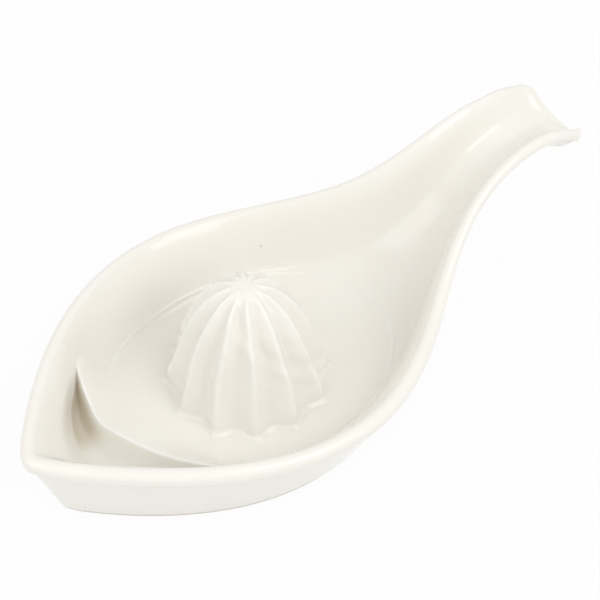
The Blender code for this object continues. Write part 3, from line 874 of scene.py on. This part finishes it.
def floor_material():
    """Pale floor, mostly the background's white for rays that see it, which keeps the shadow."""
    material = bpy.data.materials.new("floor")
    material.use_nodes = True
    nodes, links = material.node_tree.nodes, material.node_tree.links
    shader = nodes["Principled BSDF"]
    shader.inputs["Base Color"].default_value = (FLOOR_TONE, FLOOR_TONE, FLOOR_TONE, 1)
    shader.inputs["Roughness"].default_value = FLOOR_ROUGHNESS
    emit = nodes.new("ShaderNodeEmission")
    emit.inputs["Strength"].default_value = BACKGROUND_STRENGTH
    scale = nodes.new("ShaderNodeMath")
    scale.operation = "MULTIPLY"
    scale.inputs[1].default_value = FLOOR_SHARE
    links.new(seen_rays(nodes, links), scale.inputs[0])
    mix = nodes.new("ShaderNodeMixShader")
    links.new(scale.outputs[0], mix.inputs[0])
    links.new(shader.outputs[0], mix.inputs[1])
    links.new(emit.outputs[0], mix.inputs[2])
    links.new(mix.outputs[0], nodes["Material Output"].inputs["Surface"])
    return material


def build_floor():
    mesh = bpy.data.meshes.new("floor")
    corners = [(x * FLOOR_REACH, y * FLOOR_REACH, 0) for x, y in ((-1, -1), (1, -1), (1, 1), (-1, 1))]
    mesh.from_pydata(corners, [], [(0, 1, 2, 3)])
    mesh.materials.append(floor_material())
    obj = bpy.data.objects.new("floor", mesh)
    bpy.context.scene.collection.objects.link(obj)
    return obj


def studio_world():
    """Soft light from all round, with white for rays that see the background."""
    world = bpy.data.worlds.new("studio")
    world.use_nodes = True
    nodes, links = world.node_tree.nodes, world.node_tree.links
    soft = nodes["Background"]
    soft.inputs["Color"].default_value = (1, 1, 1, 1)
    soft.inputs["Strength"].default_value = WORLD_STRENGTH
    bright = nodes.new("ShaderNodeBackground")
    bright.inputs["Strength"].default_value = BACKGROUND_STRENGTH
    mix = nodes.new("ShaderNodeMixShader")
    links.new(seen_rays(nodes, links), mix.inputs[0])
    links.new(soft.outputs[0], mix.inputs[1])
    links.new(bright.outputs[0], mix.inputs[2])
    links.new(mix.outputs[0], nodes["World Output"].inputs["Surface"])
    return world


floor = build_floor()
bpy.context.scene.world = studio_world()


def softbox(name, place, size, watts):
    """Square lamp that looks at the middle of the object, a little above the table."""
    light = bpy.data.lights.new(name, "AREA")
    light.shape = "RECTANGLE"
    light.size, light.size_y = size, size
    light.energy = watts
    obj = bpy.data.objects.new(name, light)
    obj.location = place
    obj.rotation_mode = "QUATERNION"
    obj.rotation_quaternion = (Vector(LAMP_TARGET) - Vector(place)).to_track_quat("-Z", "Y")
    bpy.context.scene.collection.objects.link(obj)


softbox("key", (0.22, -0.88, 1.06), 0.9, 5.4)
softbox("glint", (0.3, -1.0, 0.95), 0.09, 0.22)
softbox("fill", (-1.0, 0.1, 0.7), 0.8, 2.3)

# Camera at the photograph's place: angles, and millimetres from the reamer's axis at the raised
# floor's height
CAMERA_TURN, CAMERA_RISE, CAMERA_ROLL = (math.radians(a) for a in (50.06, 47.75, -0.52))
CAMERA_FIELD = math.radians(24)
CAMERA_DISTANCE, CAMERA_RIGHT, CAMERA_DOWN = 474.2, -17.60, 24.64
SENSOR_WIDTH = 36
CLIP_START = 0.01


def build_camera():
    cos_rise, sin_rise = math.cos(CAMERA_RISE), math.sin(CAMERA_RISE)
    forward = Vector((cos_rise * math.cos(CAMERA_TURN), cos_rise * math.sin(CAMERA_TURN), -sin_rise))
    level = Vector((math.sin(CAMERA_TURN), -math.cos(CAMERA_TURN), 0))
    drop = forward.cross(level)
    right = math.cos(CAMERA_ROLL) * level + math.sin(CAMERA_ROLL) * drop
    down = -math.sin(CAMERA_ROLL) * level + math.cos(CAMERA_ROLL) * drop
    place = -CAMERA_DISTANCE * forward - CAMERA_RIGHT * right - CAMERA_DOWN * down
    place = place + Vector((0, 0, DECK_HEIGHT))
    camera = bpy.data.cameras.new("camera")
    camera.sensor_width = SENSOR_WIDTH
    camera.lens = SENSOR_WIDTH / 2 / math.tan(CAMERA_FIELD / 2)
    camera.clip_start = CLIP_START
    obj = bpy.data.objects.new("camera", camera)
    turn = Matrix((right, -down, -forward)).transposed().to_4x4()
    turn.translation = place * MM + Vector((REAMER_X, 0, 0))
    obj.matrix_world = turn
    bpy.context.scene.collection.objects.link(obj)
    return obj


bpy.context.scene.camera = build_camera()
bpy.context.scene.view_settings.view_transform = "Standard"
